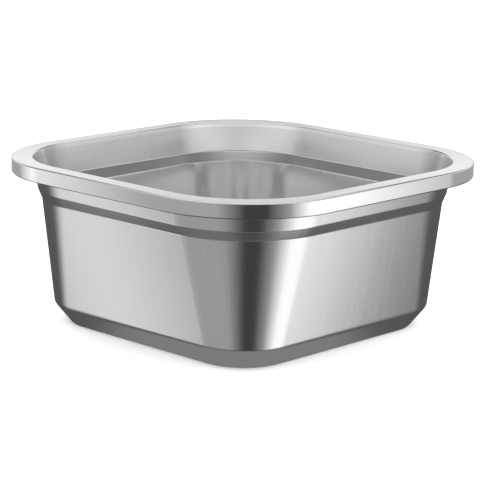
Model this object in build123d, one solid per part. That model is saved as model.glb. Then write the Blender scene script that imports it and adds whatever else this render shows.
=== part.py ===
"""Square pressed stainless steel foot bath with a wired cap round its rim. Millimetres, +Z up.

The origin is the centre of the base, on the surface that the bath stands on. The bath is
square in plan, and every level of it is a rounded square, given by its height, by how far
its sides lie inside the rim's sides, and by its corner radius.
"""

import math
import os
from collections import namedtuple

from build123d import *

# Overall size
RIM_SIDE = 400.0          # outside of the rim, side to side
HEIGHT = 174.0            # surface it stands on, to the top of the rim

# Sheet and wire
BOWL_SHEET = 0.8
CAP_SHEET = 0.6
WIRE_RADIUS = 1.0
FIT = 0.05                # air between sheets, and between sheet and wire, that lie together

# Rim
SKIRT_DEPTH = 15.4        # top of the rim to the bottom of its curl
LIP_DEPTH = 5.0           # top of the rim to the edge of the cap's lip, inside the bowl
CURL_OPENING = 100.0      # degrees of the curl left open, above the wire
WIRE_GAP = 1.5            # between the two ends of the wire, halfway along the back side

# Bends
SKIRT_BEND = 1.6          # rim's flat top to its skirt, on the cap's outer skin
LIP_BEND = 2.0            # rim's flat top to its lip, on the cap's outer skin
FOLD_BENDS = [4.0, 15.0, 5.0, 5.0]  # floor, foot, and low and high folds of the step
PANEL_BEND = 2.0          # inside of both folds of the raised panel

# Raised panel in the floor, so that the bath stands on the flat ring round it
PANEL_RISE = 2.0
PANEL_INSET = 15.0        # edge of the floor to the foot of the panel's slope
PANEL_SLOPE = 5.0         # foot of the slope to the flat of the panel

Level = namedtuple("Level", "z inset corner")

RIM = Level(HEIGHT, 0.0, 111.0)

# The bowl's outer skin, folded at each of these from the floor up. The last one is where
# the collar would meet the top of the rim.
FLOOR = Level(0.0, 60.8, 49.5)
FOOT_TOP = Level(HEIGHT - 153.3, 47.1, 54.3)
STEP_LOW = Level(HEIGHT - 43.0, 29.2, 85.7)
STEP_HIGH = Level(HEIGHT - 32.4, 23.6, 94.5)
MOUTH = Level(HEIGHT, 18.0, 99.0)
SKIN_LEVELS = [FLOOR, FOOT_TOP, STEP_LOW, STEP_HIGH, MOUTH]

# What follows from those
UPRIGHT, LEVEL_FLOOR = 0.0, math.pi / 2
CAP_UNDERSIDE = HEIGHT - CAP_SHEET
FLANGE_TOP = CAP_UNDERSIDE - FIT
CURL_RADIUS = WIRE_RADIUS + FIT + CAP_SHEET
CURL_HEIGHT = HEIGHT - SKIRT_DEPTH + CURL_RADIUS
FLANGE_EDGE = CURL_HEIGHT + WIRE_RADIUS + FIT
ABOVE = 5.0               # cutting solids run on past the rim by this much


def inwards(level, distance):
    """The level moved in towards the middle of the bath, its corners kept parallel."""
    return Level(level.z, level.inset + distance, level.corner - distance)


def at_height(level, z):
    """The level's outline at another height."""
    return Level(z, level.inset, level.corner)


def outline(level):
    """Face that fills the level's rounded square, in its place."""
    side = RIM_SIDE - 2 * level.inset
    return Plane.XY.offset(level.z) * RectangleRounded(side, side, level.corner)


def stack(levels):
    """Solid whose walls run straight from each level to the next."""
    return loft([outline(level) for level in levels], ruled=True)


def block(level, top):
    """Upright solid on the level's outline, from its height up to top."""
    return extrude(outline(level), top - level.z)


def fold(solid, level, radius):
    """The solid with its edges along the level's outline rounded."""
    near = 0.01
    half = RIM_SIDE / 2 - level.inset
    loop = []
    for edge in solid.edges():
        box = edge.bounding_box()
        reach = max(abs(box.min.X), abs(box.max.X), abs(box.min.Y), abs(box.max.Y))
        flat = max(abs(box.min.Z - level.z), abs(box.max.Z - level.z)) < near
        if flat and abs(reach - half) < near:
            loop.append(edge)
    return fillet(loop, radius)


def leans():
    """Angle from upright of the floor and of each wall above it, in radians."""
    angles = [LEVEL_FLOOR]
    for low, high in zip(SKIN_LEVELS, SKIN_LEVELS[1:]):
        angles.append(math.atan2(low.inset - high.inset, high.z - low.z))
    return angles


def skin(depth):
    """Levels of the folds of the skin that lies inside the outer skin, square to it."""
    angles = leans()
    moved = []
    for level, below, above in zip(SKIN_LEVELS, angles, angles[1:] + angles[-1:]):
        turn = math.tan((below - above) / 2)
        along = depth * (math.cos(below) + turn * math.sin(below))
        rise = depth * (math.sin(below) - turn * math.cos(below))
        moved.append(inwards(at_height(level, level.z + rise), along))
    return moved


def filled(depth):
    """All that the skin at that depth encloses, with its folds rounded."""
    angles = leans()
    levels = skin(depth)
    solid = stack(levels)
    folds = list(zip(levels, FOLD_BENDS, angles, angles[1:]))
    for level, bend, below, above in reversed(folds):
        bulges = below > above
        solid = fold(solid, level, bend - depth if bulges else bend + depth)
    return solid


def collar(depth, z):
    """Level of the collar's skin at that depth, at height z."""
    low, high = skin(depth)[-2:]
    share = (z - low.z) / (high.z - low.z)
    inset = low.inset + share * (high.inset - low.inset)
    corner = low.corner + share * (high.corner - low.corner)
    return Level(z, inset, corner)


def panel_levels(depth):
    """Foot and top of the raised panel, on the skin at that depth."""
    spread = depth * math.tan(math.atan2(PANEL_RISE, PANEL_SLOPE) / 2)
    foot = inwards(at_height(FLOOR, depth), PANEL_INSET - spread)
    return foot, inwards(at_height(foot, depth + PANEL_RISE), PANEL_SLOPE)


def panel(depth, foot_bend, top_bend):
    """Raised panel of the floor as a solid on a wide plate below that skin's floor."""
    foot, top = panel_levels(depth)
    plate = block(at_height(RIM, depth - ABOVE), depth)
    solid = fold(plate + stack([foot, top]), foot, foot_bend)
    return fold(solid, top, top_bend)


def lidded(level, sheet, bend, bottom):
    """Plate with a turned-down border, both one sheet thick, its top outline at level."""
    outside = fold(block(at_height(level, bottom), level.z), level, bend)
    under = inwards(at_height(level, level.z - sheet), sheet)
    hollow = fold(block(at_height(under, bottom), under.z), under, bend - sheet)
    return outside - hollow


def make_bowl():
    """Floor, walls and collar in one sheet, turned out and down round the mouth."""
    edge = at_height(inwards(RIM, CAP_SHEET + FIT), FLANGE_TOP)
    flange = lidded(edge, BOWL_SHEET, SKIRT_BEND - CAP_SHEET - FIT, FLANGE_EDGE)
    above = block(edge, HEIGHT + ABOVE)
    solid = flange + (filled(0.0) - above)
    under_bend = LIP_BEND - CAP_SHEET - FIT - BOWL_SHEET
    solid = fold(solid, collar(0.0, FLANGE_TOP - BOWL_SHEET), under_bend)
    water = filled(BOWL_SHEET) - panel(BOWL_SHEET, PANEL_BEND, PANEL_BEND + BOWL_SHEET)
    recess = panel(0.0, PANEL_BEND + BOWL_SHEET, PANEL_BEND)
    solid = solid - water - recess
    return fold(solid, collar(BOWL_SHEET, FLANGE_TOP), LIP_BEND - CAP_SHEET - FIT)


def rim_path(level):
    """Loop along the level's outline, and the upright plane across its start, x outwards."""
    loop = outline(level).face().outer_wire()
    along = loop % 0
    outward = along.cross(Vector(0, 0, 1))
    start = loop @ 0
    if outward.dot(start) < 0:
        outward = outward * -1
    return loop, Plane(origin=start, x_dir=outward, z_dir=outward.cross(Vector(0, 0, 1)))


def make_cap():
    """Polished channel over the flange: flat top, lip inside, skirt curled round the wire."""
    lid = lidded(RIM, CAP_SHEET, SKIRT_BEND, CURL_HEIGHT)
    lip_edge = HEIGHT - LIP_DEPTH
    outer, inner = BOWL_SHEET + FIT, BOWL_SHEET + FIT + CAP_SHEET
    lip = stack([collar(outer, lip_edge), collar(outer, CAP_UNDERSIDE + CAP_SHEET / 2)])
    solid = fold(lid + lip, collar(outer, CAP_UNDERSIDE), LIP_BEND - CAP_SHEET)
    mouth = stack([collar(inner, lip_edge - ABOVE), collar(inner, HEIGHT + ABOVE)])
    solid = fold(solid - mouth, collar(inner, HEIGHT), LIP_BEND)
    loop, across = rim_path(inwards(at_height(RIM, CURL_HEIGHT), CURL_RADIUS))
    turned = CURL_OPENING - 360.0
    outside = CenterArc((0, 0), CURL_RADIUS, 0, turned)
    inside = CenterArc((0, 0), CURL_RADIUS - CAP_SHEET, 0, turned)
    ends = [Line(outside @ 0, inside @ 0), Line(outside @ 1, inside @ 1)]
    curl = sweep(across * make_face([outside, inside, *ends]), path=loop)
    return solid + curl


def make_wire():
    """Round wire that stiffens the curl, its two ends nearly meeting at the back."""
    loop, across = rim_path(inwards(at_height(RIM, CURL_HEIGHT), CURL_RADIUS))
    ring = sweep(across * Circle(WIRE_RADIUS), path=loop)
    reach = 4 * CURL_RADIUS
    gap = Pos(0, RIM_SIDE / 2, CURL_HEIGHT) * Box(WIRE_GAP, reach, reach)
    return ring - gap


os.makedirs("parts", exist_ok=True)
PARTS = {"bowl": make_bowl(), "rim_cap": make_cap(), "rim_wire": make_wire()}
for name, shape in PARTS.items():
    export_step(shape, f"parts/{name}.step")
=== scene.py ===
"""Square pressed stainless steel foot bath: brushed bowl, polished cap round the rim, wire inside the curl.

The bath is square in plan. Each piece is a sheet profile carried round the rounded square of the rim, so a point
of a profile has an inset from the rim's outside, a height, and the corner radius of the loop that it makes.
"""

import math
from collections import namedtuple

import bmesh
import bpy
from mathutils import Matrix, Vector


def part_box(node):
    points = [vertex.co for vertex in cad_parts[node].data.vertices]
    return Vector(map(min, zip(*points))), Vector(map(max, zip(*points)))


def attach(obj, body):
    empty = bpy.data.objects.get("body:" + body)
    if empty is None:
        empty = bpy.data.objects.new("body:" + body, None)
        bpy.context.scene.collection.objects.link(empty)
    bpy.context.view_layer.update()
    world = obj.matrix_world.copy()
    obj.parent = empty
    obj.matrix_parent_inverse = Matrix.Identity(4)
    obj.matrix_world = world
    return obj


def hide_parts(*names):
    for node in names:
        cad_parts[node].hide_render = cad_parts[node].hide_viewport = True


MM = 0.001

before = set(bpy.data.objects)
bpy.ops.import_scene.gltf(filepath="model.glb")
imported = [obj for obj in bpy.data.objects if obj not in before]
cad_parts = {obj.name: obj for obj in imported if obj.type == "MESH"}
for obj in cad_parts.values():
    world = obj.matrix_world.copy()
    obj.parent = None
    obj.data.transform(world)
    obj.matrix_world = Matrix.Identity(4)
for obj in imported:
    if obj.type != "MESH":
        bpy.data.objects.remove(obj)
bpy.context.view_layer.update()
cap_low, cap_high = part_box("rim_cap")

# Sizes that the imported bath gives
RIM_SIDE = cap_high.x - cap_low.x
TOP = cap_high.z
CURL_BOTTOM = cap_low.z

# Sheet, wire and the air between them
BOWL_SHEET = 0.8 * MM
CAP_SHEET = 0.6 * MM
WIRE_RADIUS = 1.0 * MM
FIT = 0.05 * MM

# Rim
RIM_CORNER = 111.0 * MM
LIP_DEPTH = 5.0 * MM
SKIRT_BEND = 1.6 * MM
LIP_BEND = 2.0 * MM
CURL_TURN = math.radians(260)

# Raised panel in the floor
PANEL_RISE = 2.0 * MM
PANEL_INSET = 15.0 * MM
PANEL_SLOPE = 5.0 * MM
PANEL_BEND = 2.0 * MM

# One fold of a sheet: where its two flats would meet, the corner radius there, and the radius of the bend
Fold = namedtuple("Fold", "inset height corner bend")

# The bowl's outer skin from the floor's edge to the top of the rim
FLOOR = Fold(60.8 * MM, 0.0, 49.5 * MM, 4.0 * MM)
FOOT_TOP = Fold(47.1 * MM, TOP - 153.3 * MM, 54.3 * MM, 15.0 * MM)
STEP_LOW = Fold(29.2 * MM, TOP - 43.0 * MM, 85.7 * MM, 5.0 * MM)
STEP_HIGH = Fold(23.6 * MM, TOP - 32.4 * MM, 94.5 * MM, 5.0 * MM)
MOUTH = Fold(18.0 * MM, TOP, 99.0 * MM, 0.0)

FLANGE_TOP = TOP - CAP_SHEET - FIT
CURL_RADIUS = WIRE_RADIUS + FIT + CAP_SHEET
CURL_HEIGHT = CURL_BOTTOM + CURL_RADIUS
FLANGE_EDGE = CURL_HEIGHT + WIRE_RADIUS + FIT

# How finely the pieces are meshed
BEND_STEPS = 8            # faces round each bend of a profile
HOLD = 0.5 * MM           # from a bend to the loop that keeps its shading off the flat
CORNER_STEPS = 32         # columns round each corner of the bath
SIDE_STEPS = 6            # columns along each half of a straight side
SIDE_CROWDING = 2.5       # how strongly those crowd towards the corner
SAME_PLACE = 0.001 * MM   # points closer than this are one
SHEET_EDGE = math.radians(40)  # a sharper turn than this is shaded as an edge


# ---- profiles ----------------------------------------------------------------------------------------------------


def inwards(fold, distance):
    """The fold moved in towards the middle of the bath, its corners kept parallel."""
    return fold._replace(inset=fold.inset + distance, corner=fold.corner - distance)


def direction(a, b):
    """Unit step in inset and height from one fold to the next."""
    return Vector((b.inset - a.inset, b.height - a.height)).normalized()


def between(a, b, share):
    """Point that lies a share of the way from one fold to the next, with no bend."""
    values = [p + share * (q - p) for p, q in zip(a, b)]
    return Fold(*values)._replace(bend=0.0)


def inner_skin(folds, sheet):
    """The same folds on the sheet's inner side, which lies to the right of the way that the list runs."""
    moved = []
    for i, fold in enumerate(folds):
        before = direction(folds[i - 1], fold) if i else direction(fold, folds[1])
        after = direction(fold, folds[i + 1]) if i + 1 < len(folds) else before
        side = Vector((before.y, -before.x)) + Vector((after.y, -after.x))
        step = side * (2 * sheet / side.length_squared)
        turn = before.x * after.y - before.y * after.x
        bend = fold.bend + math.copysign(sheet, turn) if fold.bend else 0.0
        moved.append(Fold(fold.inset + step.x, fold.height + step.y, fold.corner - step.x, bend))
    return moved


def at_height(a, b, height):
    """Point at a height on the straight sheet from fold a to fold b, or on past them."""
    return between(a, b, (height - a.height) / (b.height - a.height))


def rounded(folds):
    """Profile points of the folds, each bend an arc, with a holding point either side of it."""
    points = []
    for i, fold in enumerate(folds):
        if not fold.bend:
            points.append(fold)
            continue
        back, on = folds[i - 1], folds[i + 1]
        before, after = direction(back, fold), direction(fold, on)
        half_turn = before.angle(after) / 2
        reach = fold.bend * math.tan(half_turn)
        behind, ahead = math.dist(back[:2], fold[:2]), math.dist(fold[:2], on[:2])
        start, end = between(fold, back, reach / behind), between(fold, on, reach / ahead)
        points.append(between(fold, back, (reach + HOLD) / behind))
        for step in range(BEND_STEPS + 1):
            share = step / BEND_STEPS
            angle = half_turn * (2 * share - 1)
            across = (after - before).normalized() * fold.bend * (1 / math.cos(half_turn) - math.cos(angle))
            along = (after + before).normalized() * fold.bend * math.sin(angle)
            inset, height = Vector(fold[:2]) + across + along
            points.append(Fold(inset, height, start.corner + share * (end.corner - start.corner), 0.0))
        points.append(between(fold, on, (reach + HOLD) / ahead))
    return points


def arc(middle, radius, start, turn, steps):
    """Points round a circle in the rim's section. Angles run from outwards, down and in."""
    points = []
    for step in range(steps + 1):
        angle = start + turn * step / steps
        inset = middle.inset - radius * math.cos(angle)
        height = middle.height - radius * math.sin(angle)
        points.append(Fold(inset, height, RIM_CORNER - inset, 0.0))
    return points


def rim_fold(inset, height, bend=0.0):
    """Fold whose loop stays parallel to the rim's outside."""
    return Fold(inset, height, RIM_CORNER - inset, bend)


PANEL_FOOT = inwards(FLOOR, PANEL_INSET)._replace(bend=PANEL_BEND + BOWL_SHEET)
PANEL_TOP = inwards(PANEL_FOOT, PANEL_SLOPE)._replace(height=PANEL_RISE, bend=PANEL_BEND)
MIDDLE = Fold(RIM_SIDE / 2, PANEL_RISE, 0.0, 0.0)
OUTER_SKIN = [MIDDLE, PANEL_TOP, PANEL_FOOT, FLOOR, FOOT_TOP, STEP_LOW, STEP_HIGH, MOUTH]
CURL_MIDDLE = rim_fold(CURL_RADIUS, CURL_HEIGHT)


def collar_at(depth, height, bend=0.0):
    """Point of the collar's skin at that depth below its outer skin."""
    low, high = inner_skin(OUTER_SKIN, depth)[-2:]
    return at_height(low, high, height)._replace(bend=bend)


def bowl_profile():
    """Over the floor, up the inside, out and down over the flange, and back down the outside."""
    inside = inner_skin(OUTER_SKIN, BOWL_SHEET)
    middle = inside[0]._replace(inset=RIM_SIDE / 2, corner=0.0)
    over, under = CAP_SHEET + FIT, CAP_SHEET + FIT + BOWL_SHEET
    flange = [
        collar_at(BOWL_SHEET, FLANGE_TOP, LIP_BEND - over),
        rim_fold(over, FLANGE_TOP, SKIRT_BEND - over),
        rim_fold(over, FLANGE_EDGE),
        rim_fold(under, FLANGE_EDGE),
        rim_fold(under, FLANGE_TOP - BOWL_SHEET, SKIRT_BEND - under),
        collar_at(0.0, FLANGE_TOP - BOWL_SHEET, LIP_BEND - under),
    ]
    return rounded([middle] + inside[1:-1] + flange + OUTER_SKIN[-2::-1])


def cap_profile():
    """Up the lip, over the flat top, down the skirt, round the curl, and back along the underside."""
    under, over = BOWL_SHEET + FIT, BOWL_SHEET + FIT + CAP_SHEET
    outside = rounded(
        [
            collar_at(over, TOP - LIP_DEPTH),
            collar_at(over, TOP, LIP_BEND),
            rim_fold(0.0, TOP, SKIRT_BEND),
            rim_fold(0.0, CURL_HEIGHT + HOLD),
        ]
    )
    inside = rounded(
        [
            rim_fold(CAP_SHEET, CURL_HEIGHT + HOLD),
            rim_fold(CAP_SHEET, TOP - CAP_SHEET, SKIRT_BEND - CAP_SHEET),
            collar_at(under, TOP - CAP_SHEET, LIP_BEND - CAP_SHEET),
            collar_at(under, TOP - LIP_DEPTH),
        ]
    )
    steps = 3 * BEND_STEPS
    curl = arc(CURL_MIDDLE, CURL_RADIUS, 0.0, CURL_TURN, steps)
    curl += arc(CURL_MIDDLE, CURL_RADIUS - CAP_SHEET, CURL_TURN, -CURL_TURN, steps)
    return outside + curl + inside + outside[:1]


def wire_profile():
    """Once round the wire."""
    return arc(CURL_MIDDLE, WIRE_RADIUS, 0.0, 2 * math.pi, 2 * BEND_STEPS)


# ---- node trees --------------------------------------------------------------------------------------------------


class Signal:
    """An output socket. Arithmetic on it adds Math nodes to its tree."""

    def __init__(self, tree, socket):
        self.tree, self.socket = tree, socket

    def math(self, operation, *others):
        """A Math node on this value and any others after it."""
        return self.tree.add("ShaderNodeMath", {"operation": operation}, dict(enumerate((self, *others))))

    def __add__(self, other):
        return self.math("ADD", other)

    def __sub__(self, other):
        return self.math("SUBTRACT", other)

    def __rsub__(self, other):
        return self.tree.add("ShaderNodeMath", {"operation": "SUBTRACT"}, {0: other, 1: self})

    def __mul__(self, other):
        return self.math("MULTIPLY", other)

    def __truediv__(self, other):
        return self.math("DIVIDE", other)

    def __pow__(self, other):
        return self.math("POWER", other)

    def clamped(self):
        return self.math("MAXIMUM", 0.0).math("MINIMUM", 1.0)

    def whole(self):
        return self.math("FLOOR")

    __radd__ = __add__
    __rmul__ = __mul__


class Tree:
    """A node tree, with one method that adds any node to it."""

    def __init__(self, nodes_of):
        self.nodes, self.links = nodes_of.nodes, nodes_of.links

    def add(self, kind, settings=(), sockets=(), out=0):
        """Adds a node, sets its settings, then its sockets' values or links, and gives one output."""
        node = self.nodes.new(kind)
        for name, value in dict(settings).items():
            if name == "stops":
                self.set_stops(node.color_ramp, value)
            else:
                setattr(node, name, value)
        for name, value in dict(sockets).items():
            if isinstance(value, Signal):
                self.links.new(value.socket, node.inputs[name])
            else:
                node.inputs[name].default_value = value
        return Signal(self, node.outputs[out]) if node.outputs else node

    @staticmethod
    def set_stops(ramp, stops):
        """Gives a ramp its grey levels, in the order of their places."""
        while len(ramp.elements) < len(stops):
            ramp.elements.new(1.0)
        for i, (place, level) in enumerate(stops):
            ramp.elements[i].position = place
            ramp.elements[i].color = (level, level, level, 1.0)

    def split(self, vector):
        """The three parts of a vector."""
        first = self.add("ShaderNodeSeparateXYZ", (), {0: vector})
        return [Signal(self, socket) for socket in first.socket.node.outputs]

    def join(self, x, y, z):
        """A vector from its three parts."""
        return self.add("ShaderNodeCombineXYZ", (), {0: x, 1: y, 2: z})


def bath_sweep():
    """Geometry Nodes tree that carries a profile round the bath and records how the sheet runs."""
    group = bpy.data.node_groups.new("carry profile round bath", "GeometryNodeTree")
    sockets = [
        ("Profile", "NodeSocketGeometry"),
        ("Rim Side", "NodeSocketFloat"),
        ("Rim Corner", "NodeSocketFloat"),
        ("Side Steps", "NodeSocketInt"),
        ("Corner Steps", "NodeSocketInt"),
        ("Finish", "NodeSocketMaterial"),
    ]
    for name, kind in sockets:
        group.interface.new_socket(name, in_out="INPUT", socket_type=kind)
    group.interface.new_socket("Piece", in_out="OUTPUT", socket_type="NodeSocketGeometry")
    tree = Tree(group)
    given = tree.add("NodeGroupInput").socket.node
    profile, side, rim_corner, side_steps, corner_steps, finish = [
        Signal(tree, socket) for socket in given.outputs[: len(sockets)]
    ]

    points = tree.add("GeometryNodeAttributeDomainSize", {"component": "MESH"}, {"Geometry": profile})
    quarter_steps = side_steps * 2 + corner_steps
    columns = quarter_steps * 4 + 1
    grid = tree.add("GeometryNodeMeshGrid", (), {"Vertices X": points, "Vertices Y": columns})
    index = tree.add("GeometryNodeInputIndex")
    row = ((index + 0.5) / columns).whole()
    column = index - row * columns

    def on_profile(value):
        kind = "FLOAT_VECTOR" if value.socket.type == "VECTOR" else "FLOAT"
        wanted = {"Geometry": profile, "Value": value, "Index": row}
        return tree.add("GeometryNodeSampleIndex", {"data_type": kind}, wanted)

    inset, _, height = tree.split(on_profile(tree.add("GeometryNodeInputPosition")))
    corner = on_profile(tree.add("GeometryNodeInputNamedAttribute", {"data_type": "FLOAT"}, {"Name": "corner"}))
    along = on_profile(tree.add("GeometryNodeInputNamedAttribute", {"data_type": "FLOAT"}, {"Name": "along"}))

    quarter = ((column + 0.5) / quarter_steps).whole()
    place = column - quarter * quarter_steps
    turned = ((place - side_steps) / corner_steps).clamped() * (math.pi / 2)
    left_behind = 1 - (1 - (place / side_steps).clamped()) ** SIDE_CROWDING
    left_ahead = 1 - (1 - ((quarter_steps - place) / side_steps).clamped()) ** SIDE_CROWDING

    def plan(half, radius):
        """Where this column crosses a rounded square, from half its side and its corner radius."""
        straight = half - radius
        x = straight * left_ahead + radius * turned.math("COSINE")
        y = straight * left_behind + radius * turned.math("SINE")
        angle = quarter * (math.pi / 2)
        cosine, sine = angle.math("COSINE"), angle.math("SINE")
        return x * cosine - y * sine, x * sine + y * cosine

    x, y = plan(side / 2 - inset, corner)
    placed = tree.add("GeometryNodeSetPosition", (), {"Geometry": grid, "Position": tree.join(x, y, height)})
    rim_x, rim_y = plan(side / 2, rim_corner)
    grain = {"Geometry": placed, "Name": "run", "Value": tree.join(rim_x, rim_y, along)}
    placed = tree.add("GeometryNodeStoreNamedAttribute", {"data_type": "FLOAT_VECTOR"}, grain)
    closed = tree.add("GeometryNodeMergeByDistance", (), {"Geometry": placed, "Distance": SAME_PLACE})
    real = tree.add("GeometryNodeRealizeInstances", (), {"Geometry": closed})
    done = tree.add("GeometryNodeSetMaterial", (), {"Geometry": real, "Material": finish})
    tree.add("NodeGroupOutput", (), {0: done})
    return group


def carried_round(name, profile, sweep, finish):
    """A piece made from its profile: a plain mesh in its place, with smooth bends and crisp sheet edges."""
    line = bpy.data.meshes.new(name + "_profile")
    line.from_pydata([(p.inset, 0.0, p.height) for p in profile], [(i, i + 1) for i in range(len(profile) - 1)], [])
    lengths = [math.dist(a[:2], b[:2]) for a, b in zip(profile, profile[1:])]
    along = [sum(lengths[:i]) for i in range(len(profile))]
    for attribute, values in (("corner", [p.corner for p in profile]), ("along", along)):
        line.attributes.new(attribute, "FLOAT", "POINT").data.foreach_set("value", values)
    drawn = bpy.data.objects.new(name + "_profile", line)
    bpy.context.scene.collection.objects.link(drawn)
    modifier = drawn.modifiers.new("sweep", "NODES")
    modifier.node_group = sweep
    inputs = {
        "Rim Side": RIM_SIDE,
        "Rim Corner": RIM_CORNER,
        "Side Steps": SIDE_STEPS,
        "Corner Steps": CORNER_STEPS,
        "Finish": finish,
    }
    for item in sweep.interface.items_tree:
        if item.name in inputs:
            modifier[item.identifier] = inputs[item.name]
    evaluated = drawn.evaluated_get(bpy.context.evaluated_depsgraph_get())
    mesh = bpy.data.meshes.new_from_object(evaluated)
    bpy.data.objects.remove(drawn)
    mesh.name = name
    mesh.shade_smooth()
    mesh.set_sharp_from_angle(angle=SHEET_EDGE)
    piece = bpy.data.objects.new(name, mesh)
    bpy.context.scene.collection.objects.link(piece)
    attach(piece, "root")
    return piece


# ---- finishes ----------------------------------------------------------------------------------------------------

# Marks in the steel: how wide they are round the bath, and how long down the sheet
WALL_GRAIN = (0.4 * MM, 50 * MM)
COLLAR_GRAIN = (50 * MM, 0.5 * MM)
BRUSH_LINES = (1.5 * MM, 120 * MM)
BRUSH_BANDS = (5 * MM, 200 * MM)
POLISH_LINES = (40 * MM, 0.4 * MM)
POLISH_HAZE = (25 * MM, 6 * MM)
WIRE_MARKS = (15 * MM, 0.3 * MM)

COLLAR_TURN = 2 * MM      # above the step, over which the grain turns from down to around
# Under the curl the steel is rougher, and its colour is darkened as painted shade for the dark gap between the curl
# and the collar
CURL_DULL_AND_SHADE_REACH = 1.5 * MM    # above the curl's bottom, the lowest that the polishing wheel gets, and where painted shade starts
CURL_DULL_AND_SHADE_FADE = 0.8 * MM     # below that, to dull steel that it never touches, darkened with painted shade


def steel(name, build):
    """A metal whose colour, roughness and bump come from build(tree), and whose other values are fixed."""
    material = bpy.data.materials.new(name)
    material.use_nodes = True
    tree = Tree(material.node_tree)
    shader = material.node_tree.nodes["Principled BSDF"]
    shader.inputs["Metallic"].default_value = 1.0
    colour, roughness, normal, fixed = build(tree)
    for socket, value in fixed.items():
        shader.inputs[socket].default_value = value
    for socket, value in (("Base Color", colour), ("Roughness", roughness), ("Normal", normal)):
        tree.links.new(value.socket, shader.inputs[socket])
    return material


def streaks(tree, width, length):
    """Noise drawn out into marks that run down the sheet, or round the bath where width is the larger."""
    run = tree.add("ShaderNodeAttribute", {"attribute_name": "run"}, out="Vector")
    scale = (1 / width, 1 / width, 1 / length)
    stretched = tree.add("ShaderNodeMapping", {"vector_type": "POINT"}, {"Vector": run, "Scale": scale})
    return tree.add("ShaderNodeTexNoise", (), {"Vector": stretched, "Scale": 1.0, "Detail": 2.0}, out="Fac")


def grey(tree, level):
    """A neutral colour of that level."""
    return tree.add("ShaderNodeCombineColor", (), {0: level, 1: level, 2: level})


def position(tree):
    """The point's x, y and height in the bath's frame."""
    return tree.split(tree.add("ShaderNodeTexCoord", out="Object"))


def brushed(tree):
    """Brushed down the walls, and round the collar above the step."""
    collar = ((position(tree)[2] - STEP_LOW.height) / COLLAR_TURN).clamped()
    down = streaks(tree, *WALL_GRAIN) - 0.5
    around = streaks(tree, *COLLAR_GRAIN) - 0.5
    fine = down * (1 - collar) + around * collar
    lines = (streaks(tree, *BRUSH_LINES) - 0.5) * (1 - collar)
    bands = streaks(tree, *BRUSH_BANDS) - 0.5
    level = 0.775 + fine * 0.1 + lines * 0.05 + bands * 0.04
    roughness = 0.185 + fine * 0.1 + lines * 0.04 + bands * 0.03
    bump = tree.add("ShaderNodeBump", (), {"Strength": 0.08, "Distance": 0.02 * MM, "Height": fine})
    return grey(tree, level), roughness, bump, {"Anisotropic": 0.2}


def polished(tree):
    """Polished round the rim nearly to a mirror, and left dull under the curl, where painted shade darkens its
    colour.
    """
    fine = streaks(tree, *POLISH_LINES)
    haze = streaks(tree, *POLISH_HAZE)
    under = ((CURL_BOTTOM + CURL_DULL_AND_SHADE_REACH - position(tree)[2]) / CURL_DULL_AND_SHADE_FADE).clamped()
    # painted shade: the colour under the curl is darkened to draw the dark line of the gap between the curl and the
    # collar
    level = (0.84 + fine * 0.05) * (1 - under * 0.75)
    roughness = 0.06 + fine * 0.06 + haze * 0.04 + under * 0.3
    bump = tree.add("ShaderNodeBump", (), {"Strength": 0.05, "Distance": 0.01 * MM, "Height": fine})
    return grey(tree, level), roughness, bump, {"Anisotropic": 0.4, "Anisotropic Rotation": 0.25}


def drawn_wire(tree):
    """Dull, with the drawing die's marks along it."""
    fine = streaks(tree, *WIRE_MARKS)
    level = 0.55 + fine * 0.1
    roughness = 0.3 + fine * 0.1
    bump = tree.add("ShaderNodeBump", (), {"Strength": 0.1, "Distance": 0.01 * MM, "Height": fine})
    return grey(tree, level), roughness, bump, {"Anisotropic": 0.3}


# ---- the bath ----------------------------------------------------------------------------------------------------

brushed_steel = steel("brushed stainless steel", brushed)
polished_steel = steel("polished stainless steel", polished)
wire_steel = steel("drawn stainless wire", drawn_wire)

sweep = bath_sweep()
bowl = carried_round("bath_bowl", bowl_profile(), sweep, brushed_steel)
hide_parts("bowl")
cap = carried_round("bath_rim_cap", cap_profile(), sweep, polished_steel)
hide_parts("rim_cap")
wire = carried_round("bath_rim_wire", wire_profile(), sweep, wire_steel)
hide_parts("rim_wire")


# ---- camera ------------------------------------------------------------------------------------------------------

CAMERA_ANGLE = math.radians(44.07)    # from straight in front, round towards the right
CAMERA_RISE = math.radians(12.05)     # from the level
CAMERA_DISTANCE = 2.0784
CAMERA_AIM = Vector((0.0, 0.0, TOP - 60 * MM))
PAN, NOD, LEAN = math.radians(0.236), math.radians(-1.031), math.radians(0.846)  # off the aim
LENS, SENSOR = 144.91, 36.0           # millimetres


def camera():
    """Long lens on the near corner, a little above the rim."""
    ahead = math.cos(CAMERA_RISE)
    back = Vector((math.sin(CAMERA_ANGLE) * ahead, -math.cos(CAMERA_ANGLE) * ahead, math.sin(CAMERA_RISE)))
    facing = (-back).to_track_quat("-Z", "Y").to_matrix().to_4x4()
    framing = Matrix.Rotation(-PAN, 4, "Y") @ Matrix.Rotation(NOD, 4, "X") @ Matrix.Rotation(LEAN, 4, "Z")
    data = bpy.data.cameras.new("camera")
    data.lens, data.sensor_width = LENS, SENSOR
    lens = bpy.data.objects.new("camera", data)
    lens.matrix_world = Matrix.Translation(CAMERA_AIM + back * CAMERA_DISTANCE) @ facing @ framing
    bpy.context.scene.collection.objects.link(lens)
    bpy.context.scene.camera = lens


camera()


# ---- studio ------------------------------------------------------------------------------------------------------

GROUND_REACH = 6.0        # from the middle of the floor to its sides
GROUND_SHADE = 0.9
WORLD_LIGHT = 2.2

# The tent of lit cloth that the steel mirrors
TENT_RADIUS = 550 * MM
TENT_LOW, TENT_HIGH = -1300 * MM, 700 * MM
TENT_SIDES = 72

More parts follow.
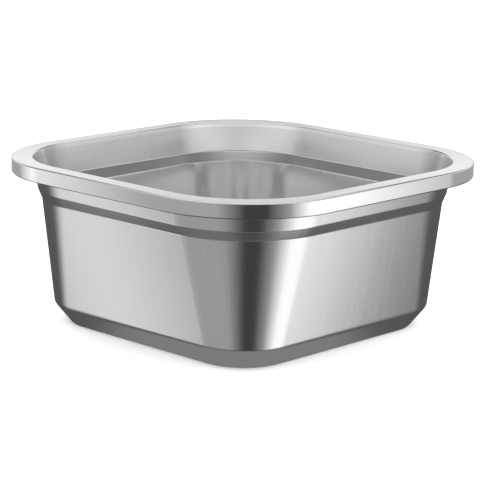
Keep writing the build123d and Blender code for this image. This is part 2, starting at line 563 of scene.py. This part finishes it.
# How bright the unlit cloth is, from the tent's foot to its roof
CLOTH = [
    (TENT_LOW, 0.25), (-500 * MM, 0.25), (-400 * MM, 0.1), (-250 * MM, 0.4), (200 * MM, 0.4), (270 * MM, 1.0),
    (350 * MM, 0.7), (450 * MM, 0.2), (600 * MM, 0.2), (TENT_HIGH, 0.9),
]

# What hangs on the cloth: the middle of each, round the turn in degrees from the camera, positive to its
# right, how far it reaches to each side of that, its foot, its top, and its light
Hung = namedtuple("Hung", "turn reach foot top light")
HANGINGS = [
    Hung(-90, 10, -300 * MM, 200 * MM, 1.1),    # lamp to the left
    Hung(62, 20, -350 * MM, 200 * MM, 1.3),     # broader lamp to the right
    Hung(180, 85, -450 * MM, 50 * MM, 0.1),     # shade behind the bath
    Hung(8, 17, -450 * MM, 250 * MM, 0.05),     # opening that the camera looks through
]
SOFT_SIDE, SOFT_END = 20, 60 * MM               # their edges, in degrees and in height


def staged(name, mesh, material):
    """An object that isn't part of the bath."""
    mesh.materials.append(material)
    thing = bpy.data.objects.new(name, mesh)
    bpy.context.scene.collection.objects.link(thing)
    return thing


def floor():
    """Plain pale floor. Mirrored light passes it, so that the steel shows the tent below it instead."""
    reach = GROUND_REACH
    corners = [(-reach, -reach, 0), (reach, -reach, 0), (reach, reach, 0), (-reach, reach, 0)]
    mesh = bpy.data.meshes.new("floor")
    mesh.from_pydata(corners, [], [(0, 1, 2, 3)])
    material = bpy.data.materials.new("pale floor")
    material.use_nodes = True
    shader = material.node_tree.nodes["Principled BSDF"]
    shader.inputs["Base Color"].default_value = (GROUND_SHADE, GROUND_SHADE, GROUND_SHADE, 1.0)
    shader.inputs["Roughness"].default_value = 1.0
    shader.inputs["Specular IOR Level"].default_value = 0.0
    staged("floor", mesh, material).visible_glossy = False


def tent():
    """Light tent that the steel mirrors: a closed drum of lit cloth, which neither the camera nor the floor sees."""
    material = bpy.data.materials.new("tent cloth")
    material.use_nodes = True
    material.node_tree.nodes.clear()
    tree = Tree(material.node_tree)
    x, y, z = position(tree)
    turn = (x.math("ARCTAN2", y * -1) - CAMERA_ANGLE) / (2 * math.pi)

    def hung(each):
        """How far inside this hanging the cloth lies, from 0 to 1."""
        aside = ((turn - each.turn / 360 + 0.5).math("FRACT") - 0.5).math("ABSOLUTE") * 360
        side = ((each.reach - aside) / SOFT_SIDE + 0.5).clamped()
        foot, top = ((z - each.foot) / SOFT_END + 0.5).clamped(), ((each.top - z) / SOFT_END + 0.5).clamped()
        return side * foot * top

    stops = [((height - TENT_LOW) / (TENT_HIGH - TENT_LOW), level) for height, level in CLOTH]
    light = tree.add("ShaderNodeValToRGB", {"stops": stops}, {"Fac": (z - TENT_LOW) / (TENT_HIGH - TENT_LOW)})
    for each in HANGINGS:
        light = light + (each.light - light) * hung(each)
    glow = tree.add("ShaderNodeEmission", (), {"Color": grey(tree, light), "Strength": 1.0})
    tree.add("ShaderNodeOutputMaterial", (), {"Surface": glow})
    material.cycles.emission_sampling = "NONE"
    drum = bmesh.new()
    middle = Matrix.Translation((0, 0, (TENT_LOW + TENT_HIGH) / 2))
    sizes = {"radius1": TENT_RADIUS, "radius2": TENT_RADIUS, "depth": TENT_HIGH - TENT_LOW}
    bmesh.ops.create_cone(drum, cap_ends=True, segments=TENT_SIDES, matrix=middle, **sizes)
    mesh = bpy.data.meshes.new("tent")
    drum.to_mesh(mesh)
    drum.free()
    cloth = staged("tent", mesh, material)
    cloth.visible_camera = False
    cloth.visible_diffuse = False
    cloth.visible_shadow = False


def room():
    """Even white light from all round, which lights the floor and is its background."""
    world = bpy.data.worlds.new("studio")
    world.use_nodes = True
    background = world.node_tree.nodes["Background"]
    background.inputs["Color"].default_value = (1.0, 1.0, 1.0, 1.0)
    background.inputs["Strength"].default_value = WORLD_LIGHT
    bpy.context.scene.world = world


floor()
tent()
room()
bpy.context.scene.view_settings.view_transform = "Standard"
